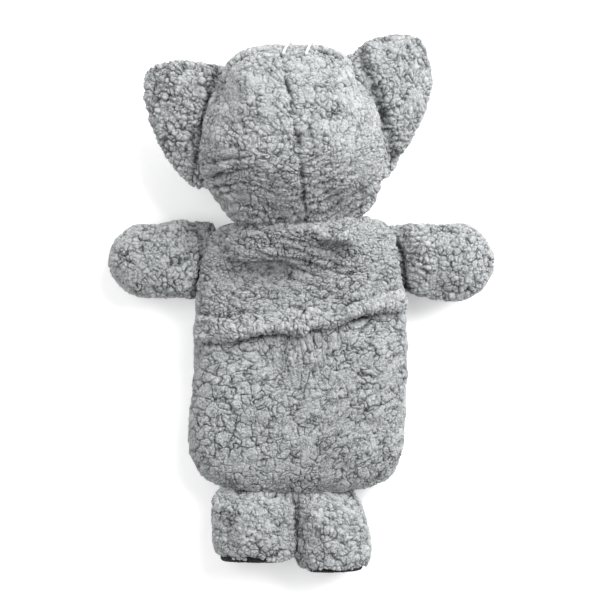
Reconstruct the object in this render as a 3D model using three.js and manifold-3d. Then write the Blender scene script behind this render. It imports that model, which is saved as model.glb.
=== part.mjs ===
// A flat plush elephant that covers a heat cushion, lying face down as it does on a table.
// Millimetres. +Z points up out of its back, +Y towards the crown of its head, +X to the side of
// its ear that stands higher. The belly's flat face lies on Z = 0, under the middle of the toy.
import * as THREE from "three";
import { mergeVertices } from "three/addons/utils/BufferGeometryUtils.js";
import Module from "manifold-3d";

const wasm = await Module();
wasm.setup();

// Driving dimensions.
const FABRIC = 4.5; // curly pile fabric: knitted backing and pile together
const GAP = 0.3; // between pieces that are sewn or laid against each other
const RIM = 1.2; // a panel where it is pressed flat in its seam

const TORSO = { centre: [0, -34], mid: 20, back: 21, front: 21.4, power: 4 };
const CHEST = { start: 16, end: 54, rise: 23, inner: 26, outer: 64 }; // it lifts towards the neck
const DIP = { centre: [-20, 19], size: [46, 22], depth: 5 }; // the flap sinks above the cushion
const POCKET_TOP = 12; // upper edge of the pocket's back panel, under the flap
const FLAP = { hem: 15, top: 50.5, hemThickness: 7.5 };
const CUSHION = { width: 120, length: 104, thickness: 29, centre: [0, -58], cotton: 1.2 };
const HEAD = { pivot: [-3, 55.7], tilt: 3, centre: [0, 52], mid: 44.5, depth: 42 };
const BACK_SEAM = { through: [1, 52], lean: 4.4 }; // the seam down the back of the head
const EAR = { halfThickness: 6.5, skin: 3.2, fold: [8, 16, 24, 32, 40] };
const TRUNK = {
  root: [44, -28.5],
  tip: [-8, -31.5],
  rootRadius: 14.5,
  tipRadius: 10.5,
  pivot: [0, 38],
  swing: 12,
};
const EYE = { place: [25, 66], radius: 5.2, shank: 2, washer: 6 };
const ARM = { length: 62, halfWidth: 24.5, halfDepth: 17.5, seamHalfDepth: 5 };
const LEG = { halfWidth: 26.2, halfDepth: 21.7, seamHalfDepth: 5, lift: [6, 12, 18, 24, 30] };
const SOLE = 2.6; // thickness of a foot's sole pad
const LOOP = { radius: 0.75, sides: 6, steps: 32 };

const clamp = (value, low, high) => Math.min(high, Math.max(low, value));
const smooth = (t) => {
  const c = clamp(t, 0, 1);
  return c * c * (3 - 2 * c);
};
// Swell of a stuffed form from its seam (rho = 1) to its middle (rho = 0).
const swell = (rho, power) => Math.sqrt(Math.max(0, 1 - rho ** power));

// ---------------------------------------------------------------- shapes

// A closed outline through a few points: [[x, y], ...].
function outlineOf(points) {
  const corners = points.map(([x, y]) => new THREE.Vector3(x, y, 0));
  return new THREE.CatmullRomCurve3(corners, true, "centripetal");
}

// Mirrors the points of a right-hand half outline, listed from top to bottom, into a whole one.
function mirrored(half) {
  const inner = half.filter(([x]) => x !== 0);
  return [...half, ...inner.map(([x, y]) => [-x, y]).reverse()];
}

// rho of a point: 0 at the centre of a star-shaped outline and 1 on it.
function rhoIn(curve, [cx, cy]) {
  const rim = curve
    .getSpacedPoints(240)
    .map((p) => ({ angle: Math.atan2(p.y - cy, p.x - cx), radius: Math.hypot(p.x - cx, p.y - cy) }))
    .sort((a, b) => a.angle - b.angle);
  return (x, y) => {
    const angle = Math.atan2(y - cy, x - cx);
    const next = rim.findIndex((r) => r.angle >= angle);
    const high = rim[next < 0 ? 0 : next];
    const low = rim[next <= 0 ? rim.length - 1 : next - 1];
    const span = high.angle - low.angle || 1;
    const share = next <= 0 ? 0.5 : (angle - low.angle) / span;
    return Math.hypot(x - cx, y - cy) / (low.radius + share * (high.radius - low.radius));
  };
}

// A closed geometry from rows of points around a form, with one point at either end. From the row
// numbered turn on, the faces' diagonals are the other way, so that stacked panels match.
function skin(first, rows, last, turn = rows.length) {
  const around = rows[0].length;
  const points = [first, ...rows.flat(), last];
  const faces = [];
  const at = (row, i) => 1 + row * around + (i % around);
  for (let i = 0; i < around; i++) {
    faces.push(0, at(0, i), at(0, i + 1));
    for (let row = 0; row + 1 < rows.length; row++) {
      const [a, b, c, d] = [at(row, i), at(row, i + 1), at(row + 1, i), at(row + 1, i + 1)];
      if (row < turn) faces.push(a, c, d, a, d, b);
      else faces.push(a, c, b, b, c, d);
    }
    faces.push(points.length - 1, at(rows.length - 1, i + 1), at(rows.length - 1, i));
  }
  const geometry = new THREE.BufferGeometry().setFromPoints(points);
  geometry.setIndex(faces);
  return geometry;
}

// A sewn panel or pad: the solid between two heights, top(x, y, rho) and bottom(x, y, rho),
// over a form's outline, whose rings shrink to its centre. The outermost rings may be left off.
function quilt({ curve, centre, segments, rings }, top, bottom, leftOff = 0) {
  const [cx, cy] = centre;
  const rim = curve.getSpacedPoints(segments).slice(0, segments);
  const level = (height, ring) => {
    const rho = Math.sin((Math.PI / 2) * (ring / rings));
    return rim.map((p) => {
      const x = cx + (p.x - cx) * rho;
      const y = cy + (p.y - cy) * rho;
      return new THREE.Vector3(x, y, height(x, y, rho));
    });
  };
  const rows = [];
  for (let ring = 1; ring <= rings - leftOff; ring++) rows.push(level(top, ring));
  const turn = rows.length;
  for (let ring = rings - leftOff; ring >= 1; ring--) rows.push(level(bottom, ring));
  const peak = new THREE.Vector3(cx, cy, top(cx, cy, 0));
  const foot = new THREE.Vector3(cx, cy, bottom(cx, cy, 0));
  return solidOf(skin(peak, rows, foot, turn));
}

// A form's outline through all heights, a little larger, to cut away what is sewn beside it.
function room({ curve, centre, segments }, margin = 0.5) {
  const [cx, cy] = centre;
  const rim = curve.getSpacedPoints(segments).slice(0, segments);
  return prism(
    rim.map(({ x, y }) => {
      const grown = 1 + margin / Math.hypot(x - cx, y - cy);
      return [cx + (x - cx) * grown, cy + (y - cy) * grown];
    }),
  );
}

// A form's whole body between two heights, a little larger all round.
function body(form, top, bottom, margin = 0.5) {
  const [cx, cy] = form.centre;
  const grown = 1 + margin / 50;
  const whole = quilt(form, (...at) => top(...at) + margin, (...at) => bottom(...at) - margin);
  return whole.translate([-cx, -cy, 0]).scale([grown, grown, 1]).translate([cx, cy, 0]);
}

// A turn about a seam, in degrees.
function turnAbout({ point, axis }, degrees) {
  const there = new THREE.Matrix4().makeTranslation(...point);
  const back = new THREE.Matrix4().makeTranslation(...point.map((value) => -value));
  const along = new THREE.Vector3(...axis).normalize();
  const angle = THREE.MathUtils.degToRad(degrees);
  return there.multiply(new THREE.Matrix4().makeRotationAxis(along, angle)).multiply(back);
}

// A solid without what would be in its way as it turns about its seam by each of the angles.
function freeToTurn(solid, beside, seam, angles) {
  return angles.reduce(
    (left, angle) => left.subtract(beside.transform(turnAbout(seam, -angle).elements)),
    solid,
  );
}

// A tapering form along a curve: half sizes across (along side) and in depth at each station, a
// share of the way along it. Its ends are flat.
function loft({ curve, side, halfWidth, halfDepth, stations, segments = 12 }) {
  const rows = stations.map((s) => {
    const middle = curve.getPoint(clamp(s, 0, 1));
    const tangent = curve.getTangent(clamp(s, 0, 1));
    middle.addScaledVector(tangent, (s - clamp(s, 0, 1)) * curve.getLength());
    const up = new THREE.Vector3().crossVectors(tangent, side).normalize();
    const row = [];
    for (let k = 0; k < segments; k++) {
      const angle = (2 * Math.PI * k) / segments;
      row.push(
        middle
          .clone()
          .addScaledVector(side, Math.cos(angle) * halfWidth(s))
          .addScaledVector(up, Math.sin(angle) * halfDepth(s)),
      );
    }
    return row;
  });
  const middleOf = (row) =>
    row.reduce((sum, p) => sum.add(p), new THREE.Vector3()).divideScalar(row.length);
  return solidOf(skin(middleOf(rows[0]), rows, middleOf(rows[rows.length - 1])));
}

// A round form about an axis, from a profile of [radius, height] that starts and ends on it.
function turned(profile, segments = 10) {
  const points = profile.map(([radius, height]) => new THREE.Vector2(radius, height));
  return solidOf(new THREE.LatheGeometry(points, segments).rotateX(Math.PI / 2));
}

// A prism through all heights over a closed polygon, for cutting.
function prism(points) {
  const shape = new THREE.Shape(points.map(([x, y]) => new THREE.Vector2(x, y)));
  return solidOf(new THREE.ExtrudeGeometry(shape, { depth: 200, bevelEnabled: false }).translate(0, 0, -50));
}

// ---------------------------------------------------------------- solids and meshes

function solidOf(geometry) {
  const bare = geometry.clone();
  bare.deleteAttribute("normal");
  bare.deleteAttribute("uv");
  const merged = mergeVertices(bare, 1e-4);
  const made = new wasm.Manifold(
    new wasm.Mesh({
      numProp: 3,
      vertProperties: merged.attributes.position.array,
      triVerts: new Uint32Array(merged.index.array),
    }),
  );
  if (made.volume() > 0) return made;
  const turnedFaces = new Uint32Array(merged.index.array).reverse();
  return new wasm.Manifold(
    new wasm.Mesh({
      numProp: 3,
      vertProperties: merged.attributes.position.array,
      triVerts: turnedFaces,
    }),
  );
}

function geometryOf(solid) {
  const mesh = solid.getMesh();
  const geometry = new THREE.BufferGeometry();
  geometry.setAttribute("position", new THREE.BufferAttribute(mesh.vertProperties.slice(), 3));
  geometry.setIndex(new THREE.BufferAttribute(mesh.triVerts.slice(), 1));
  geometry.computeVertexNormals();
  return geometry;
}

const material = (color, roughness, metalness = 0) =>
  new THREE.MeshStandardMaterial({ color, roughness, metalness });
const MATERIALS = {
  pile: material(0xa3a7a8, 0.95),
  sole: material(0x17181a, 0.9),
  cotton: material(0xe6e2d6, 0.85),
  filling: material(0xb89b6a, 0.8),
  stuffing: material(0xf1f1ee, 1),
  eye: material(0x08080a, 0.12),
  washer: material(0xe9e9e6, 0.5),
  cord: material(0xf4f5f3, 0.7),
};

function piece(parent, name, kind, solid) {
  const mesh = new THREE.Mesh(geometryOf(solid), MATERIALS[kind]);
  mesh.name = name;
  parent.add(mesh);
  return mesh;
}

// ---------------------------------------------------------------- torso, pocket and flap

const TORSO_FORM = {
  centre: TORSO.centre,
  segments: 28,
  rings: 5,
  curve: outlineOf([
    [0, 55],
    [42, 58],
    [59, 51],
    [67, 24],
    [71, -8],
    [71.5, -50],
    [69, -84],
    [61, -110.5],
    [43, -122],
    [0, -127.5],
    [-45, -123.5],
    [-67, -111.5],
    [-75, -90],
    [-71.5, -54],
    [-69.5, -12],
    [-66.5, 22],
    [-58, 48],
    [-42, 53],
  ]),
};

// Lower edge of the flap, from one side seam to the other.
const FLAP_EDGE = [
  [-80, -24],
  [-50, -26],
  [-28, -21],
  [-9, -20],
  [3, -21.5],
  [6, -17.5],
  [20, -16.5],
  [41, -8.5],
  [80, -3],
];

const torsoMid = (x, y) => {
  const along = smooth((y - CHEST.start) / (CHEST.end - CHEST.start));
  const across = smooth((Math.abs(x) - CHEST.inner) / (CHEST.outer - CHEST.inner));
  return TORSO.mid + CHEST.rise * along * (1 - across);
};
const dip = (x, y) => {
  const away = Math.hypot((x - DIP.centre[0]) / DIP.size[0], (y - DIP.centre[1]) / DIP.size[1]);
  return DIP.depth * (1 - smooth(away));
};
const torsoSwell = (rho) => swell(rho, TORSO.power);
const backOutside = (x, y, rho) =>
  torsoMid(x, y) + GAP / 2 + RIM + (TORSO.back - RIM - dip(x, y)) * torsoSwell(rho);
const backInside = (x, y, rho) =>
  torsoMid(x, y) + GAP / 2 + (TORSO.back - FABRIC - dip(x, y)) * torsoSwell(rho);
const frontOutside = (x, y, rho) =>
  Math.max(0, torsoMid(x, y) - GAP / 2 - RIM - (TORSO.front - RIM) * torsoSwell(rho));
const frontInside = (x, y, rho) => {
  const skinDepth = RIM + (FABRIC - RIM) * torsoSwell(rho);
  return frontOutside(x, y, rho) + skinDepth;
};

function bellyPanel() {
  return quilt(TORSO_FORM, frontInside, frontOutside);
}

function pocketPanel() {
  const below = prism([
    [-90, -140],
    [90, -140],
    [90, POCKET_TOP],
    [-90, POCKET_TOP],
  ]);
  return quilt(TORSO_FORM, backOutside, backInside).intersect(below);
}

// A layer that lies on the torso's back, of the given thickness.
function backLayer(thickness) {
  const under = (x, y, rho) => backOutside(x, y, rho) + GAP;
  const over = (x, y, rho) => under(x, y, rho) + RIM + (thickness - RIM) * torsoSwell(rho);
  return quilt(TORSO_FORM, over, under, 1);
}

// The band between the flap's lower edge, raised by from, and the same edge raised by to.
function flapBand(from, to) {
  const low = FLAP_EDGE.map(([x, y]) => [x, y + from]);
  const slope = Math.tan(THREE.MathUtils.degToRad(HEAD.tilt));
  const neck = [80, -80].map((x) => [x, FLAP.top + slope * x]);
  const high = to === undefined ? neck : FLAP_EDGE.map(([x, y]) => [x, y + to]).reverse();
  return prism([...low, ...high]);
}

const flapSheet = () => backLayer(FABRIC).intersect(flapBand(FLAP.hem + GAP));
const flapHem = () => backLayer(FLAP.hemThickness).intersect(flapBand(0, FLAP.hem));

// ---------------------------------------------------------------- heat cushion

function cushionOutline({ width, length, centre }) {
  const halfWidth = width / 2;
  const halfLength = length / 2;
  const [cx, cy] = centre;
  const corner = 0.86; // the corners are a little rounded and the sides pull in between them
  return outlineOf([
    [cx, cy + halfLength * 0.97],
    [cx + halfWidth * corner, cy + halfLength],
    [cx + halfWidth, cy + halfLength * corner],
    [cx + halfWidth * 0.97, cy],
    [cx + halfWidth, cy - halfLength * corner],
    [cx + halfWidth * corner, cy - halfLength],
    [cx, cy - halfLength * 0.97],
    [cx - halfWidth * corner, cy - halfLength],
    [cx - halfWidth, cy - halfLength * corner],
    [cx - halfWidth * 0.97, cy],
    [cx - halfWidth, cy + halfLength * corner],
    [cx - halfWidth * corner, cy + halfLength],
  ]);
}

const CUSHION_FORM = {
  centre: CUSHION.centre,
  segments: 20,
  rings: 4,
  curve: cushionOutline(CUSHION),
};
const cushionRise = (rho) => (CUSHION.thickness / 2 - CUSHION.cotton) * swell(rho, 3);
const cushionMid = TORSO.mid + 0.4;

// One cotton panel of the cushion, above (side = 1) or below (side = -1) its seam.
function cushionPanel(side) {
  const near = (x, y, rho) => cushionMid + side * (GAP / 2 + cushionRise(rho));
  const far = (x, y, rho) => near(x, y, rho) + side * CUSHION.cotton;
  return side > 0 ? quilt(CUSHION_FORM, far, near) : quilt(CUSHION_FORM, near, far);
}

function cushionFilling() {
  const top = (x, y, rho) => cushionMid + cushionRise(rho) - GAP;
  const bottom = (x, y, rho) => cushionMid - cushionRise(rho) + GAP;
  return quilt(CUSHION_FORM, top, bottom, 1);
}

// ---------------------------------------------------------------- head

// In the head's own frame, X and Y from the neck seam's middle and Z from its side seam's level.
const HEAD_FORM = {
  centre: HEAD.centre,
  segments: 24,
  rings: 5,
  curve: outlineOf(
    mirrored([
      [0, 117],
      [24, 114.7],
      [39, 106.5],
      [49, 88],
      [57, 68],
      [60.5, 48],
      [59, 29],
      [51.5, 12],
      [39, 2.5],
      [0, 0],
    ]),
  ),
};
const headSwell = (rho) => swell(rho, 2.3);
const headOutside = (side) => (x, y, rho) =>
  side * (GAP / 2 + RIM + (HEAD.depth - RIM) * headSwell(rho));
const headInside = (side) => (x, y, rho) =>
  side * (GAP / 2 + (HEAD.depth - FABRIC) * headSwell(rho));

function headHalf(side) {
  if (side > 0) return quilt(HEAD_FORM, headOutside(1), headInside(1));
  return quilt(HEAD_FORM, headInside(-1), headOutside(-1));
}

// The half of a head panel on one side of its middle seam, which may lean over.
function headQuarter(side, across, lean = 0) {
  const near = across * (GAP / 2);
  const far = across * 90;
  const box = prism([
    [near, -90],
    [far, -90],
    [far, 90],
    [near, 90],
  ]);
  const [x, y] = BACK_SEAM.through;
  return headHalf(side).intersect(box.rotate([0, 0, lean]).translate([lean ? x : 0, y, 0]));
}

function headStuffing() {
  const reach = (rho) => (HEAD.depth - FABRIC) * headSwell(rho) - GAP;
  return quilt(HEAD_FORM, (x, y, rho) => reach(rho), (x, y, rho) => -reach(rho), 1);
}

// Where an eye sits: its point on the face and the way the face looks there.
function eyeSeat(across) {
  const [ex, ey] = EYE.place;
  const rho = rhoIn(HEAD_FORM.curve, HEAD.centre);
  const height = (x, y) => headOutside(-1)(x, y, rho(x, y));
  const step = 2;
  const slopeX = (height(ex + step, ey) - height(ex - step, ey)) / (2 * step);
  const slopeY = (height(ex, ey + step) - height(ex, ey - step)) / (2 * step);
  return {
    point: new THREE.Vector3(across * ex, ey, height(ex, ey)),
    way: new THREE.Vector3(across * slopeX, slopeY, -1).normalize(),
  };
}

// Turns a form made about +Z so that it sits at an eye's place and looks out of the face.
function seated(solid, { point, way }) {
  const turn = new THREE.Quaternion().setFromUnitVectors(new THREE.Vector3(0, 0, 1), way);
  const matrix = new THREE.Matrix4().compose(point, turn, new THREE.Vector3(1, 1, 1));
  return solid.transform(matrix.elements);
}

const SHANK_LENGTH = FABRIC + 5;

function eyeButton() {
  const { radius, shank } = EYE;
  return turned([
    [0, radius * 0.8],
    [radius * 0.5, radius * 0.67],
    [radius * 0.87, radius * 0.36],
    [radius, GAP + 0.6],
    [radius * 0.9, GAP + 0.2],
    [shank, GAP + 0.2],
    [shank, -SHANK_LENGTH],
    [0, -SHANK_LENGTH],
  ]);
}

function eyeWasher() {
  const { shank, washer } = EYE;
  const inner = shank + GAP;
  return turned([
    [inner, -FABRIC - 1.2],
    [washer, -FABRIC - 1.2],
    [washer, -FABRIC - 2.4],
    [inner, -FABRIC - 2.4],
    [inner, -FABRIC - 1.2],
  ]);
}

// Room around a shank, or around a washer and the shank's end, cut from what they pass through.
const borer = (radius, low, high) =>
  turned([
    [0, high],
    [radius, high],
    [radius, low],
    [0, low],
  ]);

// ---------------------------------------------------------------- trunk

const TRUNK_PATH = new THREE.CatmullRomCurve3([
  new THREE.Vector3(0, TRUNK.root[0], TRUNK.root[1]),
  new THREE.Vector3(0, TRUNK.root[0] - 18, TRUNK.root[1] - 1.5),
  new THREE.Vector3(0, TRUNK.tip[0] + 16, TRUNK.tip[1] - 1.2),
  new THREE.Vector3(0, TRUNK.tip[0], TRUNK.tip[1]),
]);
const trunkRadius = (s) => {
  const radius = TRUNK.rootRadius + (TRUNK.tipRadius - TRUNK.rootRadius) * clamp(s, 0, 1);
  const tipRound = clamp((s - 0.88) / 0.12, 0, 1);
  return radius * Math.sqrt(1 - 0.55 * tipRound * tipRound);
};
const sideways = new THREE.Vector3(1, 0, 0);

const TRUNK_STATIONS = [0, 0.2, 0.45, 0.7, 0.9, 1];

// The trunk's outside, or a form that lies inside it by offset, from the station numbered first.
function trunkForm(offset, first = 0) {
  const shrink = 1 - offset / (TRUNK.root[0] - TRUNK.tip[0]);
  return loft({
    curve: TRUNK_PATH,
    side: sideways,
    halfWidth: (s) => trunkRadius(s / shrink) - offset,
    halfDepth: (s) => 0.94 * trunkRadius(s / shrink) - offset,
    stations: TRUNK_STATIONS.slice(first).map((s) => s * shrink),
    segments: 10,
  });
}

// The face, a little larger, that the trunk is sewn against.
function faceClearance() {
  return quilt(
    HEAD_FORM,
    () => HEAD.depth,
    (x, y, rho) => headOutside(-1)(x, y, rho) - 1.5 * GAP,
  );
}

// ---------------------------------------------------------------- ears

// In the head's frame. An ear is sewn into the head's side seam and turns down about it. The right
// one stands up; the left one is folded over at its top.
const EARS = [
  {
    side: "right",
    centre: [72, 80],
    hinge: [[64.5, 40], [48, 100]],
    droop: 14,
    curve: outlineOf([
      [36, 103],
      [48, 84],
      [58, 54],
      [59, 26],
      [65, 31],
      [75, 45],
      [84, 60],
      [91.5, 76],
      [94.5, 90],
      [92, 105],
      [87, 116.5],
      [76, 119.6],
      [56, 117],
      [46, 111],
    ]),
  },
  {
    side: "left",
    centre: [-72, 74],
    hinge: [[-64.5, 40], [-48, 100]],
    droop: 16,
    curve: outlineOf([
      [-42, 103],
      [-50, 84],
      [-58, 54],
      [-58, 27],
      [-67, 32],
      [-78, 47],
      [-85, 61],
      [-91, 78],
      [-94.5, 95],
      [-88, 104.5],
      [-68, 107.5],
      [-52, 108],
    ]),
  },
];

// Heights of an ear's layers over its middle.
function earLayer(kind, { curve, centre }) {
  const form = { curve, centre, segments: 16, rings: 3 };
  const swollen = (rho, reach) => reach * swell(rho, 3);
  const outer = (rho) => GAP / 2 + RIM + swollen(rho, EAR.halfThickness);
  const inner = (rho) => GAP / 2 + swollen(rho, EAR.halfThickness - EAR.skin);
  if (kind === "back") return quilt(form, (x, y, rho) => outer(rho), (x, y, rho) => inner(rho));
  if (kind === "front") return quilt(form, (x, y, rho) => -inner(rho), (x, y, rho) => -outer(rho));
  const reach = (rho) => inner(rho) - GAP;
  return quilt(form, (x, y, rho) => reach(rho), (x, y, rho) => -reach(rho), 1);
}

// ---------------------------------------------------------------- limbs

// Half sizes of an arm from its shoulder seam to its round tip.
const armRound = (s) => {
  const t = clamp((s - 0.52) / 0.48, 0, 1);
  return Math.sqrt(Math.max(0.06, 1 - t ** 2.6));
};
const armHalfWidth = (s) => ARM.halfWidth * armRound(s);
const armHalfDepth = (s) => {
  const opened = ARM.seamHalfDepth + (ARM.halfDepth - ARM.seamHalfDepth) * smooth(s / 0.3);
  return opened * armRound(s);
};

// Half sizes of a leg from its hip seam to its open foot.
const legHalfWidth = (s) => LEG.halfWidth - 1.5 * (1 - smooth(s / 0.4)) - smooth((s - 0.7) / 0.3);
const legHalfDepth = (s) => {
  const opened = LEG.seamHalfDepth + (LEG.halfDepth - LEG.seamHalfDepth) * smooth(s / 0.35);
  return opened - 1.2 * smooth((s - 0.75) / 0.25);
};

// A limb along +X from its seam at the origin, or a form that lies inside it by offset.
function limb({ length, halfWidth, halfDepth, stations }, offset = 0, width = 1) {
  const inside = (reach) => (s) => Math.max(1, reach(clamp(s, 0, 1)) - offset);
  return loft({
    curve: new THREE.LineCurve3(new THREE.Vector3(), new THREE.Vector3(length, 0, 0)),
    side: new THREE.Vector3(0, 1, 0),
    halfWidth: inside((s) => width * halfWidth(s)),
    halfDepth: inside(halfDepth),
    stations,
  });
}

const ARM_STATIONS = [-0.25, 0.02, 0.16, 0.32, 0.5, 0.7, 0.86, 0.96, 1];
const LEG_STATIONS = [-0.25, 0.02, 0.2, 0.4, 0.7, 1];

function armForm(offset = 0, first = 0) {
  const arm = {
    length: ARM.length - offset,
    halfWidth: armHalfWidth,
    halfDepth: armHalfDepth,
    stations: ARM_STATIONS.slice(first),
  };
  return limb(arm, offset);
}

function legForm(length, width, offset = 0, first = 0, reach = 1) {
  const stations = LEG_STATIONS.slice(first).map((s, i, all) => (i === all.length - 1 ? reach : s));
  return limb({ length, halfWidth: legHalfWidth, halfDepth: legHalfDepth, stations }, offset, width);
}

function sole(length, width) {
  const taper = (s) => 1.2 * s * s;
  return loft({
    curve: new THREE.LineCurve3(
      new THREE.Vector3(length + GAP, 0, 0),
      new THREE.Vector3(length + GAP + SOLE, 0, 0),
    ),
    side: new THREE.Vector3(0, 1, 0),
    halfWidth: (s) => width * legHalfWidth(1) - 0.6 - taper(s),
    halfDepth: (s) => legHalfDepth(1) - 0.6 - taper(s),
    stations: [0, 0.6, 1],
  });
}

// ---------------------------------------------------------------- hanging loop

// The loop is caught in the crown, lies over it and hangs down in front, in the head's frame.
const LOOP_PATH = new THREE.CatmullRomCurve3(
  [
    [-2.5, 110.2, 23.9],
    [-1, 113.6, 19.9],
    [0.6, 116.6, 14.6],
    [2, 118.8, 7],
    [3, 119.3, -3],
    [3.6, 119.2, -14],
    [5, 119, -23],
    [7.4, 118.9, -27.6],
    [10.7, 118.8, -29.2],
    [14, 118.8, -27.4],
    [16.2, 118.8, -23],
    [17.2, 118.7, -14],
    [17.2, 118.6, -3],
    [16.6, 118, 7],
    [15.6, 115.8, 14.6],
    [14, 112.4, 19.9],
    [12.6, 109, 23.9],
  ].map(([x, y, z]) => new THREE.Vector3(x, y, z)),
);

function hangLoop() {
  const section = new THREE.Shape();
  for (let k = 0; k < LOOP.sides; k++) {
    const angle = (2 * Math.PI * k) / LOOP.sides;
    const [x, y] = [LOOP.radius * Math.cos(angle), LOOP.radius * Math.sin(angle)];
    if (k === 0) section.moveTo(x, y);
    else section.lineTo(x, y);
  }
  section.closePath();
  return solidOf(new THREE.ExtrudeGeometry(section, { steps: LOOP.steps, extrudePath: LOOP_PATH }));
}

// ---------------------------------------------------------------- the toy

const elephant = new THREE.Group();

function addTorso() {
  piece(elephant, "belly_panel", "pile", bellyPanel());
  piece(elephant, "pocket_back_panel", "pile", pocketPanel());
  piece(elephant, "flap_panel", "pile", flapSheet());
  piece(elephant, "flap_hem", "pile", flapHem());
  piece(elephant, "cushion_cover_back", "cotton", cushionPanel(1));
  piece(elephant, "cushion_cover_front", "cotton", cushionPanel(-1));
  piece(elephant, "cushion_filling", "filling", cushionFilling());
}

function addEyes(head, stuffing, faces) {
  const left = { side: "left", across: -1 };
  const right = { side: "right", across: 1 };
  let hollowed = stuffing;
  for (const { side, across: sign } of [left, right]) {
    const seat = eyeSeat(sign);
    piece(head, `eye_${side}`, "eye", seated(eyeButton(), seat));
    piece(head, `eye_washer_${side}`, "washer", seated(eyeWasher(), seat));
    faces[side] = faces[side].subtract(seated(borer(EYE.shank + GAP, -20, 10), seat));
    const room = borer(EYE.washer + GAP, -SHANK_LENGTH - GAP, 0);
    hollowed = hollowed.subtract(seated(room, seat));
  }
  return hollowed;
}

function addHead() {
  const head = new THREE.Group();
  head.position.set(HEAD.pivot[0], HEAD.pivot[1], HEAD.mid);
  head.rotation.z = THREE.MathUtils.degToRad(HEAD.tilt);
  elephant.add(head);
  const faces = { left: headQuarter(-1, -1), right: headQuarter(-1, 1) };
  const stuffing = addEyes(head, headStuffing(), faces);
  for (const [side, sign] of [["left", -1], ["right", 1]]) {
    piece(head, `head_back_${side}`, "pile", headQuarter(1, sign, BACK_SEAM.lean));
    piece(head, `face_${side}`, "pile", faces[side]);
  }
  piece(head, "head_stuffing", "stuffing", stuffing);
  piece(head, "hang_loop", "cord", hangLoop());
  addTrunk(head);
  for (const ear of EARS) addEar(head, ear);
}

function addTrunk(head) {
  const seam = { point: [...TRUNK.pivot, 0], axis: [0, 0, 1] };
  const angles = [-1, -0.5, 0, 0.5, 1].map((share) => share * TRUNK.swing);
  const face = faceClearance();
  const clear = (solid) => freeToTurn(solid, face, seam, angles);
  const skinDepth = FABRIC - 1;
  piece(head, "trunk_skin", "pile", clear(trunkForm(0)).subtract(trunkForm(skinDepth)));
  piece(head, "trunk_stuffing", "stuffing", clear(trunkForm(skinDepth + GAP)));
}

function addEar(head, ear) {
  const { side, hinge, droop } = ear;
  const [low, high] = hinge;
  const raised = side === "right" ? -1 : 1;
  const seam = { point: [...low, 0], axis: [raised * (high[0] - low[0]), raised * (high[1] - low[1]), 0] };
  const drooping = turnAbout(seam, -droop).elements;
  const beside = body(HEAD_FORM, headOutside(1), headOutside(-1));
  for (const kind of ["back", "front", "wadding"]) {
    const sewn = earLayer(kind, ear).transform(drooping).subtract(room(HEAD_FORM));
    const solid = freeToTurn(sewn, beside, seam, EAR.fold);
    piece(head, `ear_${kind}_${side}`, kind === "wadding" ? "stuffing" : "pile", solid);
  }
}

// Each arm hangs on its shoulder seam, and each leg on its hip seam.
const ARMS = [
  { side: "left", at: [-65, 29.5, 19], turn: 180 },
  { side: "right", at: [64.5, 29, 19], turn: -1 },
];
const LEGS = [
  { side: "left", at: [-31, -125, 22.1], turn: -91, length: 47, width: 1.07 },
  { side: "right", at: [22.2, -126, 22.1], turn: -88.5, length: 52.5, width: 0.94 },
];

function addArm({ side, at, turn }) {
  const beside = room(TORSO_FORM);
  const placed = (solid) => solid.rotate([0, 0, turn]).translate(at).subtract(beside);
  const shell = armForm().subtract(armForm(FABRIC));
  piece(elephant, `arm_skin_${side}`, "pile", placed(shell));
  piece(elephant, `arm_stuffing_${side}`, "stuffing", placed(armForm(FABRIC + GAP, 2)));
}

function addLeg({ side, at, turn, length, width }) {
  const beside = room(TORSO_FORM);
  const torso = body(TORSO_FORM, backOutside, frontOutside);
  const seam = { point: [at[0], at[1] + 1.5, 20.5], axis: [-1, 0, 0] };
  const placed = (solid) => {
    const sewn = solid.rotate([0, 0, turn]).translate(at).subtract(beside);
    return freeToTurn(sewn, torso, seam, LEG.lift);
  };
  const hollow = legForm(length, width, FABRIC, 0, 1.1);
  piece(elephant, `leg_skin_${side}`, "pile", placed(legForm(length, width).subtract(hollow)));
  const core = legForm(length, width, FABRIC + GAP, 2);
  piece(elephant, `leg_stuffing_${side}`, "stuffing", placed(core));
  piece(elephant, `sole_${side}`, "sole", placed(sole(length, width)));
}

addTorso();
addHead();
ARMS.forEach(addArm);
LEGS.forEach(addLeg);

// The origin lies under the middle of the toy.
elephant.updateMatrixWorld(true);
const bounds = new THREE.Box3().setFromObject(elephant, true);
const middle = bounds.getCenter(new THREE.Vector3());
elephant.position.set(-middle.x, -middle.y, -bounds.min.z);

export default elephant;
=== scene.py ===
"""A grey curly-pile plush elephant that covers a heat cushion, lying face down, seen from above."""

import math
from itertools import product

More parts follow.
